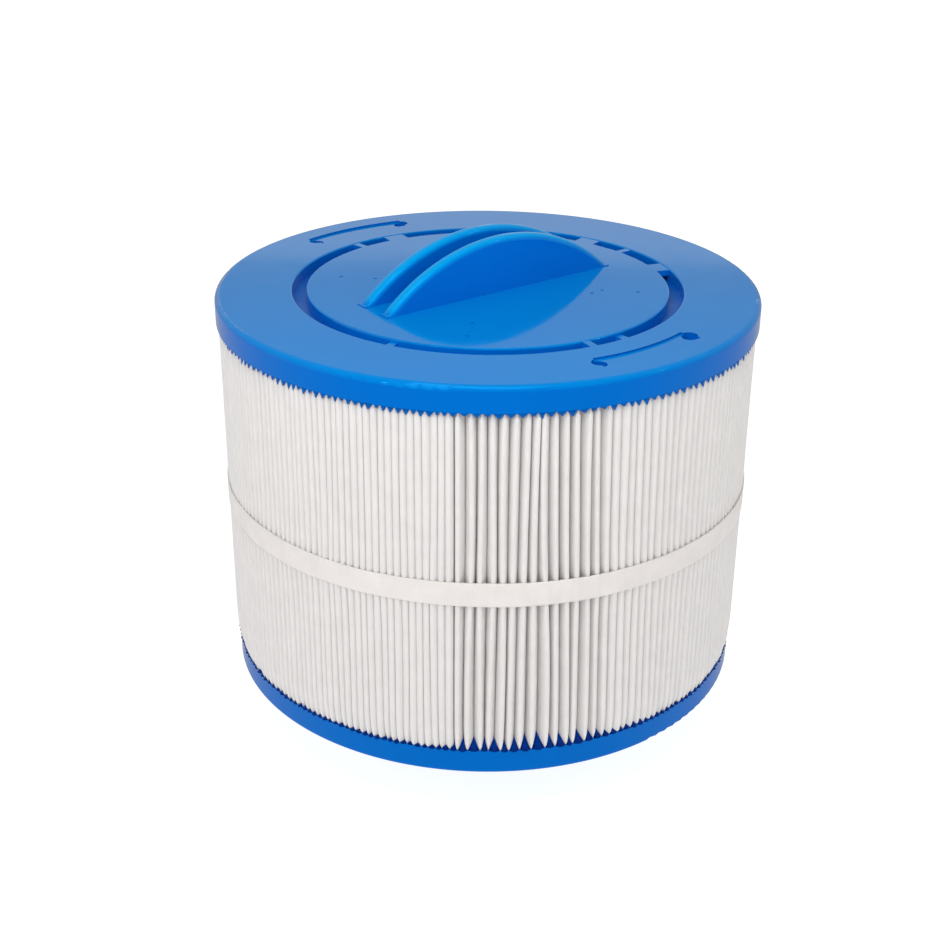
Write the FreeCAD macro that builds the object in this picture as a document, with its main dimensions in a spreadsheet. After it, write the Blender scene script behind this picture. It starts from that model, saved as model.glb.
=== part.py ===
import FreeCAD, Part
import math
import os
import re

import Sketcher

# Round pleated filter cartridge with a handle lid and a threaded outlet.
# Millimetres, +Z up. The origin is the centre of the bottom cap's lower face.
# The grip blades of the lid run along X.

DIMENSIONS = [
    ("body_height", 160.0, "bottom cap's lower face to top cap's upper face"),
    ("cap_radius", 108.0, "top cap, outside"),
    ("cap_depth", 10.0, "height of the top cap's side wall"),
    ("cap_plate", 5.0, "thickness of the top cap and the lid"),
    ("cap_wall", 2.8, "side wall of both caps"),
    ("cap_edge", 2.2, "rounding of the top cap's outer edge"),
    ("base_radius", 106.0, "bottom cap, outside"),
    ("base_depth", 10.0, "height of the bottom cap's side wall"),
    ("base_plate", 3.0, "thickness of the bottom cap's floor"),
    ("base_edge", 1.5, "rounding of the bottom cap's outer edge"),
    ("slot_inner", 72.1, "radius of the lid, inner wall of the ring slot"),
    ("slot_outer", 77.7, "outer wall of the ring slot"),
    ("slot_edge", 0.7, "rounding of both edges of the ring slot"),
    ("web_width", 3.0, "narrow webs that cross the ring slot"),
    ("wide_web_width", 9.0, "wide webs that cross the ring slot"),
    ("web_depth", 2.4, "height of a web"),
    ("web_recess", 0.2, "how far a web lies below the top face"),
    ("low_web_recess", 1.2, "how far a low web lies below the top face"),
    ("web_right", 1.7, "narrow web at the handle's end, degrees from +X"),
    ("web_back", 99.2, "narrow web on the back, degrees from +X"),
    ("web_front", -98.2, "narrow web on the front, degrees from +X"),
    ("wide_web_right", 17.0, "wide web past the handle's end, degrees from +X"),
    ("wide_web_front", -18.3, "wide web before the handle's end, degrees from +X"),
    ("wide_web_back", 84.7, "wide web on the back, degrees from +X"),
    ("low_web_front", -86.0, "low web on the front, degrees from +X"),
    ("low_web_left", -155.7, "low web at the handle's other end, degrees from +X"),
    ("pocket_inner", 88.4, "arc pocket, inner radius"),
    ("pocket_outer", 97.2, "arc pocket, outer radius"),
    ("pocket_angle", 14.4, "half of the arc pocket's sweep in degrees"),
    ("pocket_turn", 1.2, "degrees that the pockets are turned from +Y and -Y"),
    ("pocket_depth", 0.8, "arc pocket, depth"),
    ("pocket_hole_radius", 3.0, "round hole at each end of an arc pocket"),
    ("pocket_hole_angle", 14.0, "degrees from the pocket's middle to a hole"),
    ("pocket_hole_depth", 3.0, "round holes, depth"),
    ("grip_length", 111.0, "grip blades, end to end"),
    ("grip_height", 22.0, "top of the blades above the lid"),
    ("grip_end_height", 0.4, "height of a blade at its ends"),
    ("grip_end_flat", 0.8, "flat land at each end of a blade"),
    ("blade_gap", 9.0, "clear width between the two blades"),
    ("blade_thickness", 5.5, "one blade"),
    ("blade_edge", 2.3, "rounding along the top of a blade"),
    ("dimple_radius", 0.7, "pin marks in the lid"),
    ("dimple_depth", 0.6, "pin marks, depth"),
    ("dimple_near", 45.6, "inner circle of pin marks, radius"),
    ("dimple_far", 59.7, "outer circle of pin marks, radius"),
    ("odd_dimple_radius", 42.0, "single pin mark, distance from the axis"),
    ("odd_dimple_angle", -50.7, "single pin mark, degrees from +X"),
    ("core_radius", 53.0, "core tube, outside"),
    ("core_wall", 3.5, "core tube, wall"),
    ("core_hole_radius", 4.0, "perforations of the core"),
    ("core_hole_step", 17.0, "spacing of the perforations along the core"),
    ("core_hole_rows", 8.0, "perforations in one column"),
    ("core_hole_columns", 16.0, "columns round the core"),
    ("spigot_gap", 0.2, "clearance of the spigots inside the core"),
    ("spigot_wall", 3.0, "wall of the spigots"),
    ("spigot_length", 8.0, "how far the spigots go into the core"),
    ("pleat_tip_radius", 107.0, "outside of the pleats"),
    ("pleat_root_radius", 53.2, "inside of the pleats"),
    ("pleat_count", 205.0, "pleats round the cartridge"),
    ("media_thickness", 0.45, "filter cloth"),
    ("seam_inner", 84.0, "seam strip, inner radius"),
    ("seam_outer", 104.0, "seam strip, outer radius"),
    ("seam_thickness", 0.4, "seam strip"),
    ("band_width", 9.5, "centre band"),
    ("band_thickness", 0.5, "centre band"),
    ("band_bottom", 74.0, "height of the band's lower edge"),
    ("flange_thickness", 3.0, "core foot's flange under the core"),
    ("boss_radius", 32.0, "core foot where it fills the bottom cap's hole"),
    ("neck_radius", 23.9, "nipple where it goes through the core foot"),
    ("collar_radius", 27.0, "nipple's collar on the core foot"),
    ("collar_thickness", 2.5, "nipple's collar"),
    ("thread_radius", 23.9, "outlet thread, crest"),
    ("thread_depth", 1.2, "outlet thread, crest to root"),
    ("thread_pitch", 2.2, "outlet thread, pitch"),
    ("thread_turns", 6.0, "turns of the outlet thread"),
    ("thread_land", 0.4, "width of a thread's crest and root"),
    ("pilot_radius", 22.4, "plain pilot at the end of the outlet"),
    ("pilot_length", 6.0, "plain pilot, length"),
    ("outlet_length", 24.0, "outlet below the bottom cap"),
    ("bore_radius", 19.0, "water passage through the outlet"),
    ("gasket_inner", 24.1, "washer round the outlet, inside radius"),
    ("gasket_outer", 31.0, "washer round the outlet, outside radius"),
    ("gasket_thickness", 3.0, "washer round the outlet"),
]

doc = FreeCAD.newDocument("FilterCartridge")
sheet = doc.addObject("Spreadsheet::Sheet", "Dims")
for row, (alias, value, note) in enumerate(DIMENSIONS, start=1):
    sheet.set("A%d" % row, alias)
    sheet.set("B%d" % row, str(value))
    sheet.set("C%d" % row, note)
    sheet.setAlias("B%d" % row, alias)
doc.recompute()

ALIAS = re.compile(r"\b(%s)\b" % "|".join(alias for alias, _, _ in DIMENSIONS))


def bound(text):
    """An expression in plain dimension names, turned into one the sheet answers."""
    return ALIAS.sub(r"Dims.\1", text)


def size(text):
    """The present value of an expression in dimension names."""
    return float(sheet.evalExpression(bound(text)))


def bind(item, **properties):
    """Tie properties of an object to expressions in dimension names."""
    for name, text in properties.items():
        item.setExpression(name, bound(text))


# ---------------------------------------------------------------- sketches

def new_body(node):
    """A PartDesign body labelled with its node name."""
    body = doc.addObject("PartDesign::Body", node)
    body.Label = node
    return body


def origin_item(body, role):
    """One of a body's own origin planes or axes."""
    return next(item for item in body.Origin.OriginFeatures if item.Role == role)


def new_sketch(body, name, role, lift="0"):
    """An empty sketch on an origin plane, moved along its normal by an expression."""
    sketch = body.newObject("Sketcher::SketchObject", name)
    sketch.AttachmentSupport = (origin_item(body, role), [""])
    sketch.MapMode = "FlatFace"
    sketch.setExpression("AttachmentOffset.Base.z", bound(lift))
    return sketch


def hold(sketch, kind, geometry, point, text):
    """Hold a sketch point at a distance from the sketch's origin along one axis."""
    index = sketch.addConstraint(
        Sketcher.Constraint(kind, -1, 1, geometry, point, size(text)))
    sketch.setExpression("Constraints[%d]" % index, bound(text))


def add_polygon(sketch, corners):
    """A closed outline whose corners are pairs of expressions."""
    points = [FreeCAD.Vector(size(x), size(y), 0) for x, y in corners]
    first = sketch.GeometryCount
    count = len(points)
    for index, point in enumerate(points):
        sketch.addGeometry(Part.LineSegment(point, points[(index + 1) % count]), False)
    for index in range(count):
        following = first + (index + 1) % count
        sketch.addConstraint(Sketcher.Constraint("Coincident", first + index, 2, following, 1))
    for index, (x, y) in enumerate(corners):
        hold(sketch, "DistanceX", first + index, 1, x)
        hold(sketch, "DistanceY", first + index, 1, y)


def add_circle(sketch, radius, x="0", y="0"):
    """A circle whose radius and centre are expressions."""
    centre = FreeCAD.Vector(size(x), size(y), 0)
    normal = FreeCAD.Vector(0, 0, 1)
    index = sketch.addGeometry(Part.Circle(centre, normal, size(radius)), False)
    hold(sketch, "DistanceX", index, 3, x)
    hold(sketch, "DistanceY", index, 3, y)
    limit = sketch.addConstraint(Sketcher.Constraint("Radius", index, size(radius)))
    sketch.setExpression("Constraints[%d]" % limit, bound(radius))


def polar(radius, angle):
    """Expressions for the point at a radius and an angle in degrees."""
    return "(%s) * cos(%s)" % (radius, angle), "(%s) * sin(%s)" % (radius, angle)


# ---------------------------------------------------------------- features

def revolve(body, name, corners):
    """Turn an outline in the XZ plane round the Z axis."""
    sketch = new_sketch(body, name + "_outline", "XZ_Plane")
    add_polygon(sketch, corners)
    feature = body.newObject("PartDesign::Revolution", name)
    feature.Profile = sketch
    feature.ReferenceAxis = (sketch, ["V_Axis"])
    feature.Angle = 360.0
    doc.recompute()
    return feature


def pocket(body, name, sketch, depth):
    """Cut a sketch downwards into the body and make sure that it cut something."""
    before = body.Shape.Volume
    feature = body.newObject("PartDesign::Pocket", name)
    feature.Profile = sketch
    feature.setExpression("Length", bound(depth))
    doc.recompute()
    if body.Shape.Volume >= before:
        raise RuntimeError(name + " cut nothing")
    return feature


def polar_pattern(body, name, originals, count):
    """Repeat features evenly round the Z axis."""
    feature = body.newObject("PartDesign::PolarPattern", name)
    feature.Originals = originals
    feature.Axis = (origin_item(body, "Z_Axis"), [""])
    feature.Angle = 360.0
    feature.setExpression("Occurrences", bound(count))
    body.Tip = feature
    doc.recompute()
    return feature


def round_edges(body, name, radius, chosen):
    """Fillet the edges of the body's tip that a test picks out."""
    tip = body.Tip
    names = ["Edge%d" % number
             for number, edge in enumerate(tip.Shape.Edges, start=1) if chosen(edge)]
    feature = body.newObject("PartDesign::Fillet", name)
    feature.Base = (tip, names)
    feature.setExpression("Radius", bound(radius))
    doc.recompute()
    return feature


def is_ring_at(edge, radius, height):
    """True for a full circle round the Z axis at this radius and height."""
    curve = edge.Curve
    if not isinstance(curve, Part.Circle):
        return False
    on_axis = math.hypot(curve.Center.x, curve.Center.y) < 1e-3
    return on_axis and abs(curve.Radius - radius) < 1e-3 and abs(curve.Center.z - height) < 1e-3


def tube(node, outer, inner, bottom, height):
    """A plain ring with flat ends, made as one cylinder cut from another."""
    parts = []
    for suffix, radius in (("_outside", outer), ("_inside", inner)):
        cylinder = doc.addObject("Part::Cylinder", node + suffix)
        bind(cylinder, Radius=radius, Height=height)
        cylinder.setExpression("Placement.Base.z", bound(bottom))
        parts.append(cylinder)
    ring = doc.addObject("Part::Cut", node)
    ring.Label = node
    ring.Base, ring.Tool = parts
    return ring


# ---------------------------------------------------------------- sub-parts

def make_top_cap_ring():
    """Flat annulus with a side wall and two shallow arc pockets in its top."""
    body = new_body("top_cap_ring")
    under = "body_height - cap_plate"
    skirt = "body_height - cap_depth"
    revolve(body, "cap_ring_turned", [
        ("slot_outer", under),
        ("slot_outer", "body_height"),
        ("cap_radius", "body_height"),
        ("cap_radius", skirt),
        ("cap_radius - cap_wall", skirt),
        ("cap_radius - cap_wall", under),
    ])
    top = size("body_height")
    rim = size("cap_radius")
    lip = size("slot_outer")
    round_edges(body, "cap_ring_rim", "cap_edge", lambda edge: is_ring_at(edge, rim, top))
    round_edges(body, "cap_ring_lip", "slot_edge", lambda edge: is_ring_at(edge, lip, top))

    arc_sketch = new_sketch(body, "arc_pocket_outline", "XY_Plane", "body_height")
    add_arc_slot(arc_sketch)
    arcs = pocket(body, "arc_pocket", arc_sketch, "pocket_depth")
    hole_sketch = new_sketch(body, "pocket_hole_outline", "XY_Plane", "body_height")
    for side in ("90 + pocket_turn - pocket_hole_angle", "90 + pocket_turn + pocket_hole_angle"):
        x, y = polar("(pocket_inner + pocket_outer) / 2", side)
        add_circle(hole_sketch, "pocket_hole_radius", x, y)
    holes = pocket(body, "pocket_holes", hole_sketch, "pocket_hole_depth")
    polar_pattern(body, "both_pockets", [arcs, holes], "2")
    return body


def add_arc_slot(sketch):
    """Outline of the arc pocket near the +Y side, with straight radial ends."""
    half = math.radians(size("pocket_angle"))
    normal = FreeCAD.Vector(0, 0, 1)
    middle = math.pi / 2 + math.radians(size("pocket_turn"))
    arcs = []
    for radius in ("pocket_inner", "pocket_outer"):
        circle = Part.Circle(FreeCAD.Vector(), normal, size(radius))
        arc = sketch.addGeometry(
            Part.ArcOfCircle(circle, middle - half, middle + half), False)
        sketch.addConstraint(Sketcher.Constraint("Coincident", arc, 3, -1, 1))
        limit = sketch.addConstraint(Sketcher.Constraint("Radius", arc, size(radius)))
        sketch.setExpression("Constraints[%d]" % limit, bound(radius))
        hold(sketch, "DistanceX", arc, 1, "%s * sin(pocket_angle - pocket_turn)" % radius)
        hold(sketch, "DistanceX", arc, 2, "0 - %s * sin(pocket_angle + pocket_turn)" % radius)
        arcs.append(arc)
    inner, outer = arcs
    for end in (1, 2):
        start_point = sketch.getPoint(inner, end)
        end_point = sketch.getPoint(outer, end)
        line = sketch.addGeometry(Part.LineSegment(start_point, end_point), False)
        sketch.addConstraint(Sketcher.Constraint("Coincident", line, 1, inner, end))
        sketch.addConstraint(Sketcher.Constraint("Coincident", line, 2, outer, end))


def make_handle_lid():
    """Round lid with a spigot below, two arched grip blades above and eight webs."""
    body = new_body("handle_lid")
    under = "body_height - cap_plate"
    spigot_outer = "core_radius - core_wall - spigot_gap"
    spigot_end = under + " - spigot_length"
    revolve(body, "lid_turned", [
        ("0", "body_height"),
        ("slot_inner", "body_height"),
        ("slot_inner", under),
        (spigot_outer, under),
        (spigot_outer, spigot_end),
        (spigot_outer + " - spigot_wall", spigot_end),
        (spigot_outer + " - spigot_wall", under),
        ("0", under),
    ])
    top = size("body_height")
    edge_radius = size("slot_inner")
    round_edges(body, "lid_edge", "slot_edge", lambda edge: is_ring_at(edge, edge_radius, top))

    add_webs(body, "narrow_webs", "web_width", "web_recess",
             ("web_right", "web_back", "web_front"))
    add_webs(body, "wide_webs", "wide_web_width", "web_recess",
             ("wide_web_right", "wide_web_front", "wide_web_back"))
    add_webs(body, "low_webs", "web_width", "low_web_recess",
             ("low_web_front", "low_web_left"))

    add_blades(body)
    add_dimples(body)
    return body


def add_webs(body, name, width, recess, angles):
    """Webs of one kind, from the lid's edge across the ring slot."""
    sketch = new_sketch(body, name + "_outline", "XY_Plane",
                        "body_height - %s - web_depth" % recess)
    for angle in angles:
        add_polygon(sketch, web_corners(angle, width))
    webs = body.newObject("PartDesign::Pad", name)
    webs.Profile = sketch
    bind(webs, Length="web_depth")
    doc.recompute()


def web_corners(angle, width):
    """Corners of one web: it starts inside the lid and ends on the slot's outer wall."""
    start = "(slot_inner - 2)"
    end = "sqrt(slot_outer ^ 2 - (%s / 2) ^ 2)" % width
    corners = []
    for reach, sign in ((start, "-"), (end, "-"), (end, "+"), (start, "+")):
        across = "(0 %s %s / 2)" % (sign, width)
        x = "%s * cos(%s) - %s * sin(%s)" % (reach, angle, across, angle)
        y = "%s * sin(%s) + %s * cos(%s)" % (reach, angle, across, angle)
        corners.append((x, y))
    return corners


def add_blades(body):
    """Two arched blades, one padded and one mirrored, with rounded top edges."""
    sketch = new_sketch(body, "blade_outline", "XZ_Plane", "blade_gap / 2")
    end = "grip_length / 2"
    land = "grip_length / 2 - grip_end_flat"
    base = "body_height - cap_plate / 2"
    step = "body_height + grip_end_height"
    corners = [("0 - (%s)" % land, step), ("0 - (%s)" % end, step),
               ("0 - (%s)" % end, base), (end, base), (end, step), (land, step)]
    points = [FreeCAD.Vector(size(x), size(y), 0) for x, y in corners]
    for start, stop in zip(points, points[1:]):
        sketch.addGeometry(Part.LineSegment(start, stop), False)
    crown = FreeCAD.Vector(0, size("body_height + grip_height"), 0)
    arch = sketch.addGeometry(Part.Arc(points[-1], crown, points[0]), False)
    last_line = len(points) - 2
    for index in range(last_line):
        sketch.addConstraint(Sketcher.Constraint("Coincident", index, 2, index + 1, 1))
    for index, (x, y) in enumerate(corners[:-1]):
        hold(sketch, "DistanceX", index, 1, x)
        hold(sketch, "DistanceY", index, 1, y)
    hold(sketch, "DistanceX", last_line, 2, land)
    hold(sketch, "DistanceY", last_line, 2, step)
    sketch.addConstraint(Sketcher.Constraint("Coincident", arch, 1, last_line, 2))
    sketch.addConstraint(Sketcher.Constraint("Coincident", arch, 2, 0, 1))
    rise = "(grip_height - grip_end_height)"
    span = "(%s)" % land
    arch_radius = "(%s ^ 2 + %s ^ 2) / (2 * %s)" % (span, rise, rise)
    limit = sketch.addConstraint(Sketcher.Constraint("Radius", arch, size(arch_radius)))
    sketch.setExpression("Constraints[%d]" % limit, bound(arch_radius))

    blade = body.newObject("PartDesign::Pad", "blade")
    blade.Profile = sketch
    bind(blade, Length="blade_thickness")
    doc.recompute()
    pair = body.newObject("PartDesign::Mirrored", "blade_pair")
    pair.Originals = [blade]
    pair.MirrorPlane = (origin_item(body, "XZ_Plane"), [""])
    body.Tip = pair
    doc.recompute()

    radius = size(arch_radius)
    round_edges(body, "blade_tops", "blade_edge",
                lambda edge: isinstance(edge.Curve, Part.Circle)
                and abs(edge.Curve.Radius - radius) < 1e-3)


def add_dimples(body):
    """Pin marks: two in each quarter of the lid and one more."""
    sketch = new_sketch(body, "dimple_outline", "XY_Plane", "body_height")
    for reach in ("dimple_near", "dimple_far"):
        x, y = polar(reach, "45")
        add_circle(sketch, "dimple_radius", x, y)
    marks = pocket(body, "dimples", sketch, "dimple_depth")
    polar_pattern(body, "all_dimples", [marks], "4")
    odd_sketch = new_sketch(body, "odd_dimple_outline", "XY_Plane", "body_height")
    x, y = polar("odd_dimple_radius", "odd_dimple_angle")
    add_circle(odd_sketch, "dimple_radius", x, y)
    pocket(body, "odd_dimple", odd_sketch, "dimple_depth")


def make_core_tube():
    """Perforated tube between the core foot and the lid."""
    body = new_body("core_tube")
    foot = "base_plate + flange_thickness"
    sketch = new_sketch(body, "core_ring", "XY_Plane", foot)
    add_circle(sketch, "core_radius")
    add_circle(sketch, "core_radius - core_wall")
    pad = body.newObject("PartDesign::Pad", "core_wall_pad")
    pad.Profile = sketch
    bind(pad, Length="body_height - cap_plate - (%s)" % foot)
    doc.recompute()

    column = new_sketch(body, "core_holes_column", "XZ_Plane")
    rows = int(size("core_hole_rows"))
    middle = "(body_height - cap_plate + %s) / 2" % foot
    for row in range(rows):
        lift = "%s + (%d - (core_hole_rows - 1) / 2) * core_hole_step" % (middle, row)
        add_circle(column, "core_hole_radius", "0", lift)
    before = body.Shape.Volume
    holes = body.newObject("PartDesign::Pocket", "core_holes")
    holes.Profile = column
    holes.Type = "ThroughAll"
    doc.recompute()
    if body.Shape.Volume >= before:
        raise RuntimeError("core holes cut nothing")
    polar_pattern(body, "core_all_holes", [holes], "core_hole_columns")
    return body


def make_media_pack():
    """One zigzag sheet folded all the way round between the two beds of potting."""
    count = int(size("pleat_count"))
    tip = size("pleat_tip_radius")
    root = size("pleat_root_radius")
    thickness = size("media_thickness")
    pitch = 2 * math.pi / count
    depth = tip - root
    lean = math.pi * (tip + root) / 2 / count
    across = thickness * math.hypot(depth, lean) / lean
    outlines = []
    for top, foot in ((tip, root + across), (tip - across, root)):
        corners = []
        for pleat in range(count):
            angle = pleat * pitch
            corners.append(round_point(top, angle))
            corners.append(round_point(foot, angle + pitch / 2))
        outlines.append(Part.makePolygon(corners + corners[:1]))
    bottom = size("base_depth")
    face = Part.makeFace(outlines, "Part::FaceMakerBullseye")
    solid = face.extrude(FreeCAD.Vector(0, 0, size("body_height - cap_depth") - bottom))
    media = doc.addObject("Part::Feature", "media_pack")
    media.Label = "media_pack"
    media.Shape = solid
    media.Placement = FreeCAD.Placement(FreeCAD.Vector(0, 0, bottom), FreeCAD.Rotation())
    return media


def round_point(radius, angle):
    """A point on a circle round the axis, in the XY plane."""
    return FreeCAD.Vector(radius * math.cos(angle), radius * math.sin(angle), 0)


def make_media_seam():
    """Strip in one pleat valley, on the -X side, where the sheet's two ends meet."""
    seam = doc.addObject("Part::Box", "media_seam")
    seam.Label = "media_seam"
    bind(seam, Length="seam_outer - seam_inner", Width="seam_thickness",
         Height="body_height - cap_depth - base_depth")
    seam.setExpression("Placement.Base.x", bound("0 - seam_outer"))
    seam.setExpression("Placement.Base.y", bound("0 - seam_thickness / 2"))
    seam.setExpression("Placement.Base.z", bound("base_depth"))
    return seam


def make_bottom_cap_ring():
    """Shallow pan with a wide hole for the core foot's boss."""
    body = new_body("bottom_cap_ring")
    revolve(body, "bottom_cap_turned", [
        ("boss_radius", "0"),
        ("base_radius", "0"),
        ("base_radius", "base_depth"),
        ("base_radius - cap_wall", "base_depth"),
        ("base_radius - cap_wall", "base_plate"),
        ("boss_radius", "base_plate"),
    ])
    rim = size("base_radius")
    round_edges(body, "bottom_cap_rim", "base_edge", lambda edge: is_ring_at(edge, rim, 0))
    return body


def make_core_foot():
    """Round plate under the core, with a spigot for it and a hole for the nipple."""
    body = new_body("core_foot")
    flange_top = "base_plate + flange_thickness"
    spigot_outer = "core_radius - core_wall - spigot_gap"
    spigot_end = flange_top + " + spigot_length"
    revolve(body, "core_foot_turned", [
        ("neck_radius", "0"),
        ("boss_radius", "0"),
        ("boss_radius", "base_plate"),
        ("core_radius", "base_plate"),
        ("core_radius", flange_top),
        (spigot_outer, flange_top),
        (spigot_outer, spigot_end),
        (spigot_outer + " - spigot_wall", spigot_end),
        (spigot_outer + " - spigot_wall", flange_top),
        ("neck_radius", flange_top),
    ])
    return body


def make_outlet_nipple():
    """Threaded nipple with a pilot below and a collar that rests on the core foot."""
    body = new_body("outlet_nipple")
    collar_bottom = "base_plate + flange_thickness"
    collar_top = collar_bottom + " + collar_thickness"
    pilot_top = "pilot_length - outlet_length"
    corners = [
        ("bore_radius", "0 - outlet_length"),
        ("pilot_radius", "0 - outlet_length"),
        ("pilot_radius", pilot_top),
    ]
    corners += thread_corners(pilot_top)
    corners += [
        ("neck_radius", collar_bottom),
        ("collar_radius", collar_bottom),
        ("collar_radius", collar_top),
        ("bore_radius", collar_top),
    ]
    revolve(body, "nipple_turned", corners)
    return body


def thread_corners(start):
    """Outline of the thread from the pilot up to the washer, turn by turn."""
    root = "thread_radius - thread_depth"
    flank = "(thread_pitch / 2 - thread_land)"
    corners = []
    for turn in range(int(size("thread_turns"))):
        foot = "%s + %d * thread_pitch" % (start, turn)
        corners += [
            (root, foot),
            ("thread_radius", "%s + %s" % (foot, flank)),
            ("thread_radius", "%s + %s + thread_land" % (foot, flank)),
            (root, "%s + 2 * %s + thread_land" % (foot, flank)),
        ]
    thread_top = "%s + thread_turns * thread_pitch" % start
    corners.append((root, thread_top))
    corners.append(("neck_radius", thread_top))
    return corners


# ---------------------------------------------------------------- assembly

nodes = [
    make_top_cap_ring(),
    make_handle_lid(),
    tube("top_potting", "cap_radius - cap_wall", "core_radius",
         "body_height - cap_depth", "cap_depth - cap_plate"),
    make_core_tube(),
    make_media_pack(),
    make_media_seam(),
    tube("centre_band", "pleat_tip_radius + band_thickness", "pleat_tip_radius",
         "band_bottom", "band_width"),
    make_bottom_cap_ring(),
    tube("bottom_potting", "base_radius - cap_wall", "core_radius",
         "base_plate", "base_depth - base_plate"),
    make_core_foot(),
    make_outlet_nipple(),
    tube("outlet_gasket", "gasket_outer", "gasket_inner",
         "0 - gasket_thickness", "gasket_thickness"),
]
doc.recompute()

for item in doc.Objects:
    if "Invalid" in item.State or "Error" in item.State:
        raise RuntimeError("%s did not recompute: %s" % (item.Name, item.State))
for node in nodes:
    shape = node.Shape
    if shape.isNull() or not shape.isValid() or len(shape.Solids) != 1:
        raise RuntimeError(node.Label + " is not one valid solid")

os.makedirs("parts", exist_ok=True)
for node in nodes:
    node.Shape.exportStep("parts/%s.step" % node.Label)
    box = node.Shape.BoundBox
    print("%-16s volume %10.1f  x %.1f..%.1f  z %.1f..%.1f" % (
        node.Label, node.Shape.Volume, box.XMin, box.XMax, box.ZMin, box.ZMax))
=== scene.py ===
import math
import random

import bpy
from mathutils import Matrix, Vector


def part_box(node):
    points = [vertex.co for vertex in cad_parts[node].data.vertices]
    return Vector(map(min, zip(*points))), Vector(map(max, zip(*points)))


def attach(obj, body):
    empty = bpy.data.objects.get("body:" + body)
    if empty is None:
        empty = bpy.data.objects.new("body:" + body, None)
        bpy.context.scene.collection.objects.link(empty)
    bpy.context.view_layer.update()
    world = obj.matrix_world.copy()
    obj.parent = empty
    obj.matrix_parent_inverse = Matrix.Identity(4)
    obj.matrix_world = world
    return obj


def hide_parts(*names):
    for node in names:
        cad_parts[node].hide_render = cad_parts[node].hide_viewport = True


# Round pleated filter cartridge standing on its threaded outlet.
# Metres, +Z up; the grip blades run along X.

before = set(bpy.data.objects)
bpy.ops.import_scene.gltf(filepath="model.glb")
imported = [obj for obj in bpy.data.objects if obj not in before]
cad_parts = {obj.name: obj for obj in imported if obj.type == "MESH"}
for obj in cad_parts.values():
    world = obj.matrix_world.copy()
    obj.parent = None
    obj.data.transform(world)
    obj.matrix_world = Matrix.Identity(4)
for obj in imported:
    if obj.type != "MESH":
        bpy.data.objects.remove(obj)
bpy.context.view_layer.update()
MM = 0.001


# ---------------------------------------------------------------- places

def node_box(node):
    """Lowest and highest corner of a CAD node."""
    low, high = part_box(node)
    return Vector(low), Vector(high)


PACK_LOW, PACK_HIGH = node_box("media_pack")
BAND_LOW, BAND_HIGH = node_box("centre_band")
CAP_TOP = node_box("top_cap_ring")[1].z
CORE_RADIUS = node_box("core_tube")[1].x
PLEAT_RADIUS = PACK_HIGH.x
FLOOR_HEIGHT = node_box("outlet_nipple")[0].z


# ---------------------------------------------------------------- shading

# Upward faces are painted paler: a painted sheen for the bright studio mirrored on level tops.
WALL_LEAN = 0.05          # upward part of the normal up to which a face is coloured as a wall,
LEVEL_LEAN = 0.75         # and from which it is coloured as a level top
CREST_FADE = 1.5 * MM
CLOUD_SCALE = 22.0        # noise scales of the plastics, per metre
# The next scale is that of the painted top sheen's faint variation.
TOP_SHEEN_SCALE = 14.0
SMEAR_SCALE = 90.0
RIPPLE_SCALE = 60.0
GRAIN_SCALE = 400.0
MOTTLE_SCALE = 140.0      # and of the cloth
PLASTIC_IOR = 1.5
BLUE_GLOSS_TINT = (0.02, 0.5, 1.0, 1.0)
CLOTH_ROUGHNESS = 0.85
CLOTH_SHEEN = 0.15


def new_material(name):
    """A node material and its Principled shader."""
    material = bpy.data.materials.new(name)
    material.use_nodes = True
    shader = material.node_tree.nodes["Principled BSDF"]
    return material, shader


def add_node(material, kind, **settings):
    """One shader node with its properties set."""
    node = material.node_tree.nodes.new(kind)
    for name, value in settings.items():
        setattr(node, name, value)
    return node


def link(material, start, end):
    """Join an output socket to an input socket."""
    material.node_tree.links.new(start, end)


def object_coordinates(material, scale=(1, 1, 1)):
    """Object coordinates through a Mapping node."""
    source = add_node(material, "ShaderNodeTexCoord")
    mapping = add_node(material, "ShaderNodeMapping")
    mapping.inputs["Scale"].default_value = scale
    link(material, source.outputs["Object"], mapping.inputs["Vector"])
    return mapping.outputs["Vector"]


def noise(material, vector, scale, detail=3.0, roughness=0.5):
    """A noise texture on the given coordinates."""
    texture = add_node(material, "ShaderNodeTexNoise")
    texture.inputs["Scale"].default_value = scale
    texture.inputs["Detail"].default_value = detail
    texture.inputs["Roughness"].default_value = roughness
    link(material, vector, texture.inputs["Vector"])
    return texture.outputs["Fac"]


def ramp(material, factor, stops):
    """A colour ramp through stops of (position, colour)."""
    node = add_node(material, "ShaderNodeValToRGB")
    elements = node.color_ramp.elements
    elements[0].position, elements[0].color = stops[0]
    elements[1].position, elements[1].color = stops[-1]
    for position, colour in stops[1:-1]:
        element = elements.new(position)
        element.color = colour
    link(material, factor, node.inputs["Fac"])
    return node.outputs["Color"]


def bump(material, shader, height, distance):
    """Surface relief from a height value."""
    node = add_node(material, "ShaderNodeBump")
    node.inputs["Distance"].default_value = distance
    node.inputs["Strength"].default_value = 1.0
    link(material, height, node.inputs["Height"])
    link(material, node.outputs["Normal"], shader.inputs["Normal"])


def grey(value):
    """A neutral colour."""
    return (value, value, value, 1.0)


def rise_in_z(material, reading, low, high):
    """0 to 1 as the Z of a Texture Coordinate reading goes from low to high."""
    source = add_node(material, "ShaderNodeTexCoord")
    parts = add_node(material, "ShaderNodeSeparateXYZ")
    spread = add_node(material, "ShaderNodeMapRange")
    spread.inputs["From Min"].default_value = low
    spread.inputs["From Max"].default_value = high
    link(material, source.outputs[reading], parts.inputs["Vector"])
    link(material, parts.outputs["Z"], spread.inputs["Value"])
    return spread.outputs["Result"]


def facing_up(material):
    """How far the surface faces upwards: 0 on walls, 1 on level faces."""
    return rise_in_z(material, "Normal", WALL_LEAN, LEVEL_LEAN)


def above(material, height):
    """Whether the surface lies above a height, over a short fade."""
    return rise_in_z(material, "Object", height, height + CREST_FADE)


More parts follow.
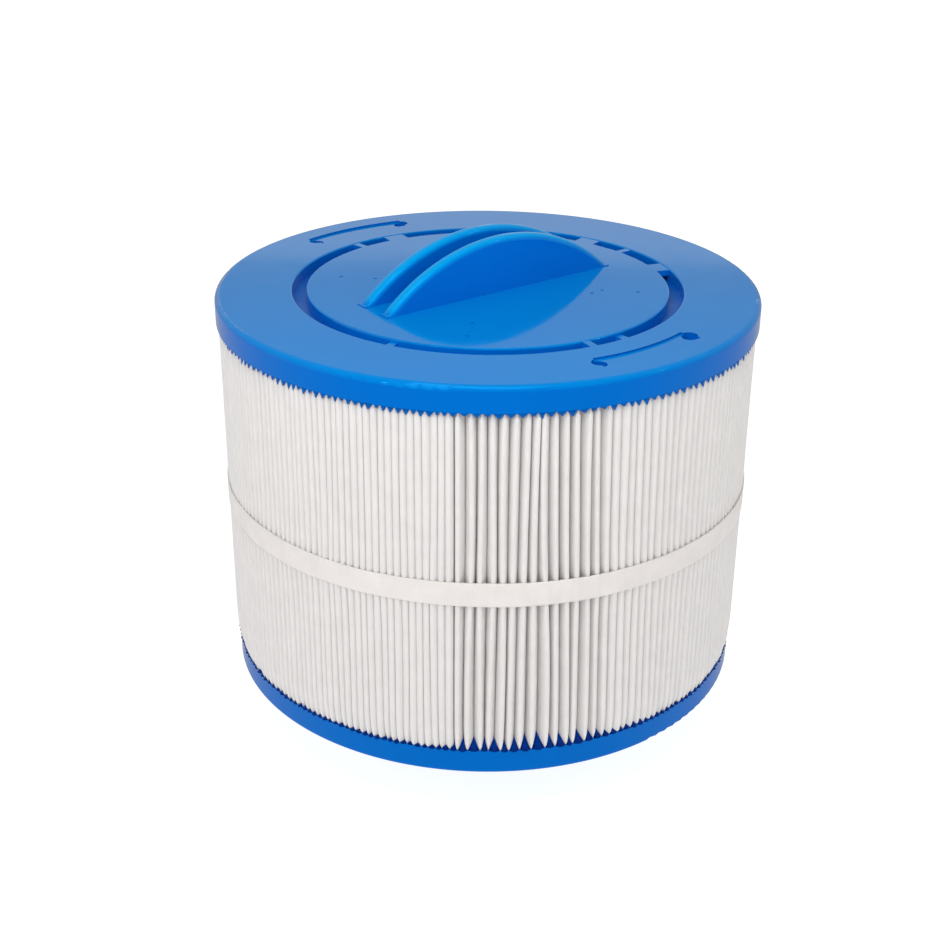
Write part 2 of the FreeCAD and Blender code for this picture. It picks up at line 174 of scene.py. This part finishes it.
def blend(material, factor, below, over):
    """Two colours mixed by a factor."""
    mix = add_node(material, "ShaderNodeMix", data_type="RGBA")
    link(material, factor, mix.inputs["Factor"])
    for socket, colour in (("A", below), ("B", over)):
        if isinstance(colour, tuple):
            mix.inputs[socket].default_value = colour
        else:
            link(material, colour, mix.inputs[socket])
    return mix.outputs["Result"]


def blue_plastic(name, light, dark, gloss=(0.05, 0.09), relief=0.01 * MM, top=None,
                 crest_highlight=None):
    """Glossy moulded plastic with faint flow clouds and a fine ripple; upward faces get a painted
    sheen and faces above a height a painted highlight."""
    material, shader = new_material(name)
    place = object_coordinates(material)
    clouds = noise(material, place, CLOUD_SCALE, 4.0)
    colour = ramp(material, clouds, [(0.3, dark), (0.7, light)])
    # Faces that point upwards are painted paler: a painted sheen for the bright studio mirrored on
    # level tops.
    if top:
        sheen_noise = noise(material, place, TOP_SHEEN_SCALE)
        pale = ramp(material, sheen_noise, [(0.3, top[0]), (0.7, top[1])])
        # Above a given height the top colour becomes a painted highlight, for light caught on the
        # grip blades' rounded upper edges.
        if crest_highlight:
            height, highlight_colour = crest_highlight
            pale = blend(material, above(material, height), pale, highlight_colour)
        colour = blend(material, facing_up(material), colour, pale)
    link(material, colour, shader.inputs["Base Color"])
    smears = noise(material, place, SMEAR_SCALE)
    low, high = gloss
    link(material, ramp(material, smears, [(0.3, grey(low)), (0.75, grey(high))]),
         shader.inputs["Roughness"])
    bump(material, shader, noise(material, place, RIPPLE_SCALE, 2.0), relief)
    shader.inputs["IOR"].default_value = PLASTIC_IOR
    shader.inputs["Specular Tint"].default_value = BLUE_GLOSS_TINT
    return material


def cloth(name, light, dark, fibre_scale, relief):
    """Spun-bonded cloth: short crossed fibres and soft mottling."""
    material, shader = new_material(name)
    place = object_coordinates(material)
    mottle = noise(material, place, MOTTLE_SCALE, 4.0)
    link(material, ramp(material, mottle, [(0.3, dark), (0.7, light)]), shader.inputs["Base Color"])
    fibres = noise(material, place, fibre_scale, 6.0, 0.7)
    bump(material, shader, fibres, relief)
    shader.inputs["Roughness"].default_value = CLOTH_ROUGHNESS
    shader.inputs["Sheen Weight"].default_value = CLOTH_SHEEN
    return material


def plain(name, colour, roughness, relief=0.02 * MM):
    """A quiet moulded surface with fine grain."""
    material, shader = new_material(name)
    place = object_coordinates(material)
    shade = tuple(channel * 0.93 for channel in colour[:3]) + (1.0,)
    link(material, ramp(material, noise(material, place, 30.0), [(0.35, shade), (0.65, colour)]),
         shader.inputs["Base Color"])
    bump(material, shader, noise(material, place, GRAIN_SCALE), relief)
    shader.inputs["Roughness"].default_value = roughness
    return material


# Painted sheen: the paler blue that the level tops of the cap and lid get, for the bright studio
# they mirror.
TOP_PAINTED_SHEEN = ((0.0, 0.200, 0.605, 1), (0.0, 0.214, 0.625, 1))
# Painted highlight: a brighter blue above this height, where light catches the grip blades' rounded
# upper edges.
GRIP_PAINTED_HIGHLIGHT = (CAP_TOP + 1.0 * MM, (0.0, 0.32, 0.74, 1.0))

CAP_BLUE = blue_plastic("cap_blue", (0.0, 0.145, 0.585, 1), (0.0, 0.137, 0.558, 1), top=TOP_PAINTED_SHEEN)
# Painted light: the lid is the same cast blue as the cap, given a lighter colour so that its blade
# walls look more brightly lit.
LID_BLUE_PAINTED_LIGHT = blue_plastic("lid_blue", (0.0, 0.180, 0.69, 1), (0.0, 0.168, 0.66, 1), top=TOP_PAINTED_SHEEN,
                        crest_highlight=GRIP_PAINTED_HIGHLIGHT)
BASE_BLUE = blue_plastic("base_blue", (0.0, 0.140, 0.56, 1), (0.0, 0.132, 0.535, 1))
SLOT_BLUE = blue_plastic("slot_blue", (0.0, 0.12, 0.50, 1), (0.0, 0.10, 0.44, 1), gloss=(0.35, 0.5))
# Blue resin darkened as painted shade, for where it sits in shadow in the narrow gaps between the
# pleats.
POTTING_BLUE_PAINTED_SHADE = blue_plastic("potting_blue", (0.0, 0.030, 0.30, 1), (0.0, 0.016, 0.22, 1),
                            gloss=(0.3, 0.5), relief=0.2 * MM)
FITTING_BLUE = blue_plastic("fitting_blue", (0.0, 0.15, 0.60, 1), (0.0, 0.13, 0.55, 1),
                            gloss=(0.2, 0.35))
MEDIA_CLOTH = cloth("media_cloth", (0.80, 0.779, 0.766, 1), (0.76, 0.739, 0.727, 1),
                    fibre_scale=2600.0, relief=0.04 * MM)
BAND_CLOTH = cloth("band_cloth", (0.83, 0.79, 0.765, 1), (0.775, 0.735, 0.71, 1),
                   fibre_scale=1500.0, relief=0.12 * MM)
CORE_WHITE = plain("core_white", (0.82, 0.82, 0.80, 1), roughness=0.45)
SEAM_WHITE = plain("seam_white", (0.8, 0.8, 0.8, 1), roughness=0.5)
GASKET_BLACK = plain("gasket_black", (0.02, 0.02, 0.022, 1), roughness=0.7)

NODE_MATERIALS = {
    "top_cap_ring": CAP_BLUE,
    "handle_lid": LID_BLUE_PAINTED_LIGHT,
    "top_potting": SLOT_BLUE,
    "core_tube": CORE_WHITE,
    "media_seam": SEAM_WHITE,
    "bottom_cap_ring": BASE_BLUE,
    "bottom_potting": POTTING_BLUE_PAINTED_SHADE,
    "core_foot": FITTING_BLUE,
    "outlet_nipple": FITTING_BLUE,
    "outlet_gasket": GASKET_BLACK,
}


def paint(piece, material):
    """Give a whole piece one material."""
    piece.data.materials.clear()
    piece.data.materials.append(material)


for node, material in NODE_MATERIALS.items():
    paint(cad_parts[node], material)


# ---------------------------------------------------------------- pleated pack

PLEAT_ZONES = [            # from and to, in degrees round the pack, and the pleats' pitch
    (-174.0, -134.0, 1.50),
    (-134.0, -102.0, 2.17),
    (-102.0, 186.0, 1.76),
]
WIDE_ZONE = PLEAT_ZONES[1][:2]

CLOTH_THICKNESS = 0.40 * MM
ROOT_RADIUS = CORE_RADIUS + 0.3 * MM
ROOT_BEND = 1.5 * MM       # an inner fold opens out over this depth,
ROOT_OPENING = 0.25 * MM   # to this far on each side,
ROOT_DRIFT = 0.10          # and has gone this share of the way to the border between two pleats

# The pleats' edges. A pair of values is for the tight zones and for the wide one.
TIP_HALF = 0.96 * MM       # most that half the width of a pleat's rounded edge can be
TIP_SHARE = (0.39, 0.465)  # and its most as a share of the pitch
EDGE_DEPTH = (0.5, 0.85)   # depth of a rounded edge as a share of its half width
TOUCH_DEPTH = 0.10 * MM    # neighbouring pleats meet this far behind their edges,
TOUCH_SLOPE = (0.45, 1.3)  # and this many times the gap between them deeper
TOUCH_GAP = 0.03 * MM      # each pleat stays this far from the border with the next one
FLANK_SHARE = 0.35         # a point between a pleat's edge and where it meets the next one
LEAST_HALF = 0.2 * MM
EDGE_TURNS = [-88, -58, -28, 0, 28, 58, 88]

# How uneven the pleats are. Angles are in degrees.
LOOSENESS = (1.0, 1.8)
PLACE_SCATTER = 0.10
WIDTH_SCATTER = (-0.10, 0.08)
WIDTH_CALM = (0.4, 1.0)
SET_BACK = 0.20 * MM
SWAY = 0.10
DRIFT = 0.12
FOOT_SCATTER = 0.5 * MM
LEAN_ZONE = (-119.0, -97.0)
LEAN = 2.2                 # degrees that a pleat drifts from its top to its foot there,
LEAN_RISE = 4.0            # coming in over this many degrees
LEAN_FALL = 20.0           # and going out over this many

# The pleats' ends and the band round their middle.
FOOT_SINK = 0.7 * MM       # the pleats' feet stand this deep in the resin
FOOT_TAPER = 11.0 * MM
FOOT_WIDTH = 0.24          # width of a pleat at its foot as a share of its full width
FOOT_BACK = 1.5 * MM       # how far its edge stands back there
HEAD_LIP = 1.2 * MM        # the cap hides this much of the pleats' pointed heads
HEAD_TAPER = 1.5 * MM
HEAD_WIDTH = 0.22
HEAD_BACK = 0.5 * MM
BAND_MIDDLE = (BAND_LOW.z + BAND_HIGH.z) / 2
BAND_HALF = (BAND_HIGH.z - BAND_LOW.z) / 2
BAND_CLEAR = 2.0 * MM      # this near the band, the pleats' edges all touch it,
BAND_PULL = 14.0 * MM      # and over this they go back to their own places
ROW_HEIGHTS = [0.0, 1.2, 3.2, 6.0, 9.5, 13.0, 30.0, 50.0, 63.0, 74.5, 92.0, 115.0, 133.0,
               137.2, 138.0, 138.8, 140.0]


def smooth_step(x):
    """0 below 0, 1 above 1 and an even rise between."""
    x = min(max(x, 0.0), 1.0)
    return x * x * (3 - 2 * x)


def pleat_valleys():
    """Angles in degrees of the inner folds, evenly spaced in each zone."""
    angles = [PLEAT_ZONES[0][0]]
    for start, end, pitch in PLEAT_ZONES:
        count = round((end - start) / pitch)
        for index in range(count):
            angles.append(start + (end - start) * (index + 1) / count)
    return angles


def lean_at(angle):
    """How many degrees a pleat at this angle drifts from top to foot."""
    low, high = LEAN_ZONE
    rise = smooth_step((angle - low) / LEAN_RISE)
    fall = 1.0 - smooth_step((angle - high) / LEAN_FALL)
    return LEAN * rise * fall


def pleat_traits():
    """For every pleat its place and its own width, set-back, sway and drift."""
    valleys = pleat_valleys()
    traits = []
    for left, right in zip(valleys, valleys[1:]):
        middle = (left + right) / 2
        zone = int(WIDE_ZONE[0] < middle < WIDE_ZONE[1])
        loose = LOOSENESS[zone]
        pitch = math.radians(right - left) * PLEAT_RADIUS
        full_half = min(TIP_HALF, TIP_SHARE[zone] * pitch)
        traits.append({
            "root": left,
            "middle": middle + random.uniform(-PLACE_SCATTER, PLACE_SCATTER) * loose,
            "half": full_half * (1.0 + random.uniform(*WIDTH_SCATTER) * WIDTH_CALM[zone]),
            "edge_depth": EDGE_DEPTH[zone],
            "touch_slope": TOUCH_SLOPE[zone],
            "set_back": abs(random.gauss(0, 1)) * SET_BACK,
            "sway": random.gauss(0, 1) * SWAY * loose,
            "sway_turn": random.uniform(0, math.tau),
            "drift": random.gauss(0, 1) * DRIFT * loose,
            "foot": random.uniform(-FOOT_SCATTER, FOOT_SCATTER),
        })
    return traits


def edge_angle(trait, share):
    """Where a pleat's outer edge stands, in degrees, at a share of the pack's height."""
    sway = trait["sway"] * math.sin(math.tau * share + trait["sway_turn"])
    lean = (lean_at(trait["middle"]) + trait["drift"]) * (0.5 - share)
    return trait["middle"] + sway + lean


def round_rise(x):
    """A quarter circle: steep at 0, level at 1."""
    x = min(max(x, 0.0), 1.0)
    return math.sqrt(1.0 - (1.0 - x) ** 2)


def polar_point(radius, degrees, offset, height):
    """A point at a radius and angle, moved sideways along the circle's tangent."""
    angle = math.radians(degrees)
    out = Vector((math.cos(angle), math.sin(angle), 0))
    side = Vector((-math.sin(angle), math.cos(angle), 0))
    return out * radius + side * offset + Vector((0, 0, height))


def row_of_edges(traits, height):
    """Every pleat's edge at one height: its angle, borders, half width, radius and depth."""
    bottom, top = PACK_LOW.z, PACK_HIGH.z
    share = (height - bottom) / (top - bottom)
    angles = [edge_angle(trait, share) for trait in traits]
    reach = abs(height - BAND_MIDDLE) - BAND_HALF
    free = smooth_step((reach - BAND_CLEAR) / BAND_PULL)
    head = smooth_step((top - height - HEAD_LIP) / HEAD_TAPER)
    edges = []
    for index, trait in enumerate(traits):
        foot = round_rise((height - bottom - FOOT_SINK + trait["foot"]) / FOOT_TAPER)
        before = angles[index - 1] - (360.0 if index == 0 else 0.0)
        after = angles[(index + 1) % len(angles)] + (360.0 if index == len(angles) - 1 else 0.0)
        room = math.radians(min(angles[index] - before, after - angles[index])) * PLEAT_RADIUS
        half = trait["half"]
        half *= FOOT_WIDTH + (1.0 - FOOT_WIDTH) * foot
        half *= HEAD_WIDTH + (1.0 - HEAD_WIDTH) * head
        half = max(min(half, room / 2 - TOUCH_GAP), LEAST_HALF)
        tip = PLEAT_RADIUS - trait["set_back"] * free
        tip -= FOOT_BACK * (1 - foot) + HEAD_BACK * (1 - head)
        edges.append({"angle": angles[index], "before": (angles[index] + before) / 2,
                      "after": (angles[index] + after) / 2, "half": half, "tip": tip,
                      "round_depth": trait["edge_depth"] * half})
    return edges


def pleat_line(trait, following_root, edge, height):
    """The cloth's line across one pleat at one height, without its last valley."""
    tip, half, angle = edge["tip"], edge["half"], edge["angle"]
    round_depth = edge["round_depth"]
    gap = math.radians(edge["after"] - edge["before"]) * PLEAT_RADIUS - 2 * half
    flank = TOUCH_DEPTH + trait["touch_slope"] * max(gap, 0.0)
    touch = tip - round_depth - flank
    shoulder = tip - round_depth - FLANK_SHARE * flank
    sides = []
    for sign, border, root in ((-1, edge["before"], trait["root"]),
                               (1, edge["after"], following_root)):
        to_border = math.radians(border - angle) * touch - sign * TOUCH_GAP
        near_root = root + ROOT_DRIFT * (border - root)
        inner = (ROOT_RADIUS + ROOT_BEND, near_root, -sign * ROOT_OPENING)
        meeting = (touch, angle, to_border)
        side = (shoulder, angle, sign * half + FLANK_SHARE * (to_border - sign * half))
        sides.append([inner, meeting, side])
    points = [(ROOT_RADIUS, trait["root"], 0.0)] + sides[0]
    for turn in EDGE_TURNS:
        turn = math.radians(turn)
        points.append((tip - round_depth * (1 - math.cos(turn)), angle, half * math.sin(turn)))
    points += reversed(sides[1])
    return [polar_point(radius, degrees, offset, height) for radius, degrees, offset in points]


def only(piece):
    """Make one piece the only selected and active one."""
    bpy.ops.object.select_all(action="DESELECT")
    piece.select_set(True)
    bpy.context.view_layer.objects.active = piece


def apply_modifier(piece, name, kind, **settings):
    """Add a modifier and apply it at once."""
    only(piece)
    modifier = piece.modifiers.new(name, kind)
    for setting, value in settings.items():
        setattr(modifier, setting, value)
    bpy.ops.object.modifier_apply(modifier=modifier.name)


def piece_from(name, points, faces):
    """A new object in the scene from points and faces."""
    mesh = bpy.data.meshes.new(name)
    mesh.from_pydata(points, [], faces)
    piece = bpy.data.objects.new(name, mesh)
    bpy.context.scene.collection.objects.link(piece)
    return piece


def sheet_from_rows(name, rows, thickness, material):
    """A closed sheet of cloth from rows of points, one above the other."""
    across = len(rows[0])
    points = [point for line in rows for point in line]
    faces = []
    for row in range(len(rows) - 1):
        for index in range(across):
            following = (index + 1) % across
            faces.append((row * across + index, row * across + following,
                          (row + 1) * across + following, (row + 1) * across + index))
    piece = piece_from(name, points, faces)
    apply_modifier(piece, "thickness", "SOLIDIFY", thickness=thickness, offset=-1.0)
    for polygon in piece.data.polygons:
        polygon.use_smooth = True
    paint(piece, material)
    return piece


def make_pleated_pack(traits):
    """One sheet of cloth folded in and out all the way round the core."""
    rows = []
    for step in ROW_HEIGHTS:
        height = PACK_LOW.z + step * MM
        edges = row_of_edges(traits, height)
        line = []
        for index, (trait, edge) in enumerate(zip(traits, edges)):
            last = index == len(traits) - 1
            following = traits[0]["root"] + 360.0 if last else traits[index + 1]["root"]
            line += pleat_line(trait, following, edge, height)
        rows.append(line)
    return sheet_from_rows("pleated_pack", rows, CLOTH_THICKNESS, MEDIA_CLOTH)


# ---------------------------------------------------------------- potting between the pleats

# Each peak of resin is one pinched cone. A lean tips its point inwards, as a share of its depth.
PEAK_SIDES = 10
PEAK_POINT = 0.04          # radius of a peak's blunt point, where its base is 0.5
PEAK_PINCH = 0.72          # width at half height as a share of a plain cone's
PEAK_JITTER = 0.3 * MM
FOOT_PEAK = 7.5 * MM       # how far the resin climbs between the pleats where they stand wide
FOOT_PEAK_TIGHT = 0.45     # and elsewhere, as a share of that
FOOT_PEAK_WIDTH = 1.1      # width of a peak as a share of the pleats' pitch
FOOT_PEAK_DEPTH = 6.0 * MM
FOOT_PEAK_PROUD = 1.2 * MM  # how far a peak's base stands out past the pleats' edges
FOOT_PEAK_LEAN = 0.5
FOOT_PEAK_SCATTER = (0.75, 1.15)
HEAD_PEAK = 2.05 * MM      # how far the resin hangs below the top cap
HEAD_PEAK_WIDTH = 1.8
HEAD_PEAK_DEPTH = 2.4 * MM
HEAD_PEAK_PROUD = 0.9 * MM
HEAD_PEAK_LEAN = -0.35
HEAD_PEAK_SCATTER = (0.75, 1.3)
HEAD_PEAK_JITTER = 0.2 * MM
DEEP_SIDES = (160.0, -60.0)  # angles in degrees where the upper resin hangs lowest


def make_resin_peak():
    """One small peak of resin, its base on z = 0, about 1 across and 1 tall."""
    bpy.ops.object.select_all(action="DESELECT")
    bpy.ops.mesh.primitive_cone_add(vertices=PEAK_SIDES, radius1=0.5, radius2=PEAK_POINT,
                                    depth=1.0, location=(0, 0, 0.5))
    peak = bpy.context.active_object
    bpy.ops.object.transform_apply(location=True, rotation=True, scale=True)
    bpy.ops.object.mode_set(mode="EDIT")
    bpy.ops.mesh.select_all(action="SELECT")
    bpy.ops.mesh.subdivide(number_cuts=1)
    bpy.ops.mesh.select_all(action="DESELECT")
    bpy.ops.object.mode_set(mode="OBJECT")
    for vertex in peak.data.vertices:
        vertex.select = 0.3 < vertex.co.z < 0.7
    bpy.ops.object.mode_set(mode="EDIT")
    bpy.ops.transform.resize(value=(PEAK_PINCH, PEAK_PINCH, 1.0))
    bpy.ops.object.mode_set(mode="OBJECT")
    bpy.ops.object.shade_smooth()
    return peak


def peak_copy(peak, size, place, direction, lean):
    """A copy of the peak at its size (deep, across, tall) and place (angle, radius, height)."""
    deep, across, tall = size
    angle, radius, height = place
    copy = peak.copy()
    copy.data = peak.data.copy()
    bpy.context.scene.collection.objects.link(copy)
    shape = Matrix.Diagonal((deep, across, tall * direction, 1.0))
    lean_in = Matrix.Identity(4)
    lean_in[0][2] = -lean * deep / tall * direction
    stand = (Matrix.Rotation(math.radians(angle), 4, "Z")
             @ Matrix.Translation((radius - deep / 2, 0, height)))
    copy.data.transform(stand @ lean_in @ shape)
    if direction < 0:
        copy.data.flip_normals()
    return copy


def peaks_between(traits, name, height, direction, lean, size_at, material):
    """A peak of resin in every gap between the pleats' edges at one height, as one piece."""
    peak = make_resin_peak()
    copies = []
    edges = row_of_edges(traits, height)
    for index, edge in enumerate(edges):
        following = edges[(index + 1) % len(edges)]
        middle = edge["after"]
        pitch = math.radians(edge["after"] - edge["angle"]) * PLEAT_RADIUS * 2
        size, radius = size_at(middle, pitch, min(edge["tip"], following["tip"]))
        copies.append(peak_copy(peak, size, (middle, radius, height), direction, lean))
    bpy.ops.object.select_all(action="DESELECT")
    for copy in copies:
        copy.select_set(True)
    bpy.context.view_layer.objects.active = copies[0]
    bpy.ops.object.join()
    joined = bpy.context.active_object
    joined.name = name
    bpy.data.objects.remove(peak)
    paint(joined, material)
    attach(joined, "root")


def foot_peak_size(angle, pitch, tip):
    """Size of a peak above the bottom cap, and the radius that its base reaches."""
    low, high = WIDE_ZONE
    wide = smooth_step((angle - low + 6.0) / 8.0) * (1.0 - smooth_step((angle - high - 6.0) / 10.0))
    tall = FOOT_PEAK * (FOOT_PEAK_TIGHT + (1.0 - FOOT_PEAK_TIGHT) * wide)
    tall *= random.uniform(*FOOT_PEAK_SCATTER)
    radius = tip + FOOT_PEAK_PROUD + random.uniform(-PEAK_JITTER, PEAK_JITTER)
    return (FOOT_PEAK_DEPTH, pitch * FOOT_PEAK_WIDTH, tall), radius


def head_peak_size(angle, pitch, tip):
    """Size of a peak below the top cap, and the radius that its base reaches."""
    side = max([math.cos(math.radians(angle - deep)) for deep in DEEP_SIDES] + [0.0])
    tall = HEAD_PEAK * (0.95 + 0.4 * side ** 3) * random.uniform(*HEAD_PEAK_SCATTER)
    radius = tip + HEAD_PEAK_PROUD + random.uniform(-HEAD_PEAK_JITTER, HEAD_PEAK_JITTER)
    return (HEAD_PEAK_DEPTH, pitch * HEAD_PEAK_WIDTH, tall), radius


# ---------------------------------------------------------------- centre band

BAND_STEPS = 820
BAND_ROWS = [0.0, 0.06, 0.3, 0.5, 0.7, 0.94, 1.0]
BAND_THICKNESS = 0.45 * MM
BAND_INSET = 0.05 * MM
BAND_SLACK = 0.14 * MM     # how far the band sinks between two pleats
BAND_SWELL = 0.05 * MM
BAND_SWELLS = 23.0
BAND_WANDER = 0.12 * MM    # how far its cut edges wander up and down
BAND_WANDERS = 7.0


def make_centre_band(traits):
    """A strip of cloth stretched round the pleats' edges, a little slack between them."""
    low, high = BAND_LOW.z, BAND_HIGH.z
    tips = sorted(edge["angle"] for edge in row_of_edges(traits, BAND_MIDDLE))
    rows = []
    for row in BAND_ROWS:
        line = []
        for step in range(BAND_STEPS):
            angle = tips[0] + 360.0 * step / BAND_STEPS
            nearest = min(abs(angle - tip) for tip in tips)
            slack = BAND_SLACK * smooth_step(nearest)
            swell = BAND_SWELL * math.sin(math.radians(angle) * BAND_SWELLS)
            wander = BAND_WANDER * math.sin(math.radians(angle) * BAND_WANDERS + 5.0 * (row > 0.5))
            radius = BAND_HIGH.x - slack + swell - BAND_INSET
            height = low + (high - low) * row + (wander if row in (0.0, 1.0) else 0.0)
            line.append(polar_point(radius, angle, 0.0, height))
        rows.append(line)
    return sheet_from_rows("centre_band_cloth", rows, BAND_THICKNESS, BAND_CLOTH)


# ---------------------------------------------------------------- the pieces

random.seed(7)
TRAITS = pleat_traits()
pack = make_pleated_pack(TRAITS)
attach(pack, "root")
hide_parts("media_pack")

# The peaks above the bottom cap take the resin's painted-shade colour.
peaks_between(TRAITS, "foot_resin", PACK_LOW.z, 1, FOOT_PEAK_LEAN, foot_peak_size, POTTING_BLUE_PAINTED_SHADE)
peaks_between(TRAITS, "head_resin", PACK_HIGH.z, -1, HEAD_PEAK_LEAN, head_peak_size, SLOT_BLUE)

band = make_centre_band(TRAITS)
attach(band, "root")
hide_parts("centre_band")


# ---------------------------------------------------------------- stage

FLOOR_SIZE = 12.0
FLOOR_GLOW = 0.90
DOME_RADIUS = 5.8
DOME_GLOW = 1.05
STUDIO_LIGHT = 0.475

# The camera's place and aim, in its own frame: y runs away from it through the cartridge's axis.
CAMERA_TURN = math.radians(-37.9)
CAMERA_DISTANCE = 591.15 * MM
CAMERA_HEIGHT = 197.59 * MM   # above the top cap
CAMERA_YAW = 0.0075
CAMERA_PITCH = 0.4451
CAMERA_ROLL = 0.0093
CAMERA_LENS = 58.75
SENSOR_WIDTH = 36.0

LIGHTS = [                # name, place in the camera's frame, target in the shared one, size, power
    ("overhead", (-0.02, -0.24, 0.46), (0, -0.10, 0.16), (0.30, 0.24), 0.85),
    ("key_left", (-0.7, -0.9, 0.75), (0, 0, 0.10), (0.5, 0.5), 1.1),
    ("front_right", (0.9, -1.2, 0.6), (0, 0, 0.08), (0.6, 0.6), 0.9),
    ("glint_left", (-0.85, -0.75, 0.95), (0, 0, 0.16), (0.12, 0.06), 0.8),
    ("glint_right", (1.1, -0.25, 0.85), (0, 0, 0.16), (0.12, 0.06), 0.4),
    ("back_card", (0.0, 1.3, 0.48), (0, 0, 0.16), (1.2, 0.16), 0.22),
]


def make_floor():
    """A wide pale floor that the glossy caps don't mirror."""
    bpy.ops.mesh.primitive_plane_add(size=FLOOR_SIZE, location=(0, 0, FLOOR_HEIGHT))
    floor = bpy.context.active_object
    floor.name = "floor"
    material, shader = new_material("floor_white")
    patches = noise(material, object_coordinates(material), 1.5)
    link(material, ramp(material, patches, [(0.3, grey(0.34)), (0.7, grey(0.36))]),
         shader.inputs["Base Color"])
    shader.inputs["Roughness"].default_value = 0.9
    shader.inputs["Emission Color"].default_value = grey(1.0)
    shader.inputs["Emission Strength"].default_value = FLOOR_GLOW
    paint(floor, material)
    floor.visible_glossy = False


def make_backdrop():
    """A white dome that only the camera sees, so that the studio has no horizon."""
    bpy.ops.mesh.primitive_uv_sphere_add(segments=48, ring_count=24, radius=DOME_RADIUS)
    dome = bpy.context.active_object
    dome.name = "backdrop"
    material, shader = new_material("backdrop_white")
    shader.inputs["Base Color"].default_value = grey(0.0)
    shader.inputs["Roughness"].default_value = 1.0
    shader.inputs["Specular IOR Level"].default_value = 0.0
    shader.inputs["Emission Color"].default_value = grey(1.0)
    shader.inputs["Emission Strength"].default_value = DOME_GLOW
    paint(dome, material)
    dome.visible_diffuse = False
    dome.visible_glossy = False
    dome.visible_transmission = False
    dome.visible_shadow = False


def make_world():
    """An even white studio."""
    world = bpy.data.worlds.new("studio")
    bpy.context.scene.world = world
    world.use_nodes = True
    background = world.node_tree.nodes["Background"]
    background.inputs["Color"].default_value = grey(1.0)
    background.inputs["Strength"].default_value = STUDIO_LIGHT


def make_camera():
    """The camera, in front of the cartridge and a little above it."""
    data = bpy.data.cameras.new("camera")
    data.lens = CAMERA_LENS
    data.sensor_width = SENSOR_WIDTH
    camera = bpy.data.objects.new("camera", data)
    bpy.context.scene.collection.objects.link(camera)
    turn = Matrix.Rotation(CAMERA_TURN, 4, "Z")
    place = Matrix.Translation((0, -CAMERA_DISTANCE, CAP_TOP + CAMERA_HEIGHT))
    aim = (Matrix.Rotation(CAMERA_YAW, 4, "Z")
           @ Matrix.Rotation(math.pi / 2 - CAMERA_PITCH, 4, "X")
           @ Matrix.Rotation(CAMERA_ROLL, 4, "Z"))
    camera.matrix_world = turn @ place @ aim
    bpy.context.scene.camera = camera


def add_light(name, place, target, size, power):
    """A soft rectangular light that faces a point and isn't seen itself."""
    data = bpy.data.lights.new(name, "AREA")
    data.shape = "RECTANGLE"
    data.size, data.size_y = size
    data.energy = power
    lamp = bpy.data.objects.new(name, data)
    bpy.context.scene.collection.objects.link(lamp)
    lamp.location = Matrix.Rotation(CAMERA_TURN, 3, "Z") @ Vector(place)
    lamp.visible_camera = False
    aim = Vector(target) - lamp.location
    lamp.rotation_euler = aim.to_track_quat("-Z", "Y").to_euler()


make_floor()
make_backdrop()
make_world()
make_camera()
for light in LIGHTS:
    add_light(*light)

bpy.context.scene.view_settings.view_transform = "Standard"
bpy.context.scene.view_settings.look = "None"
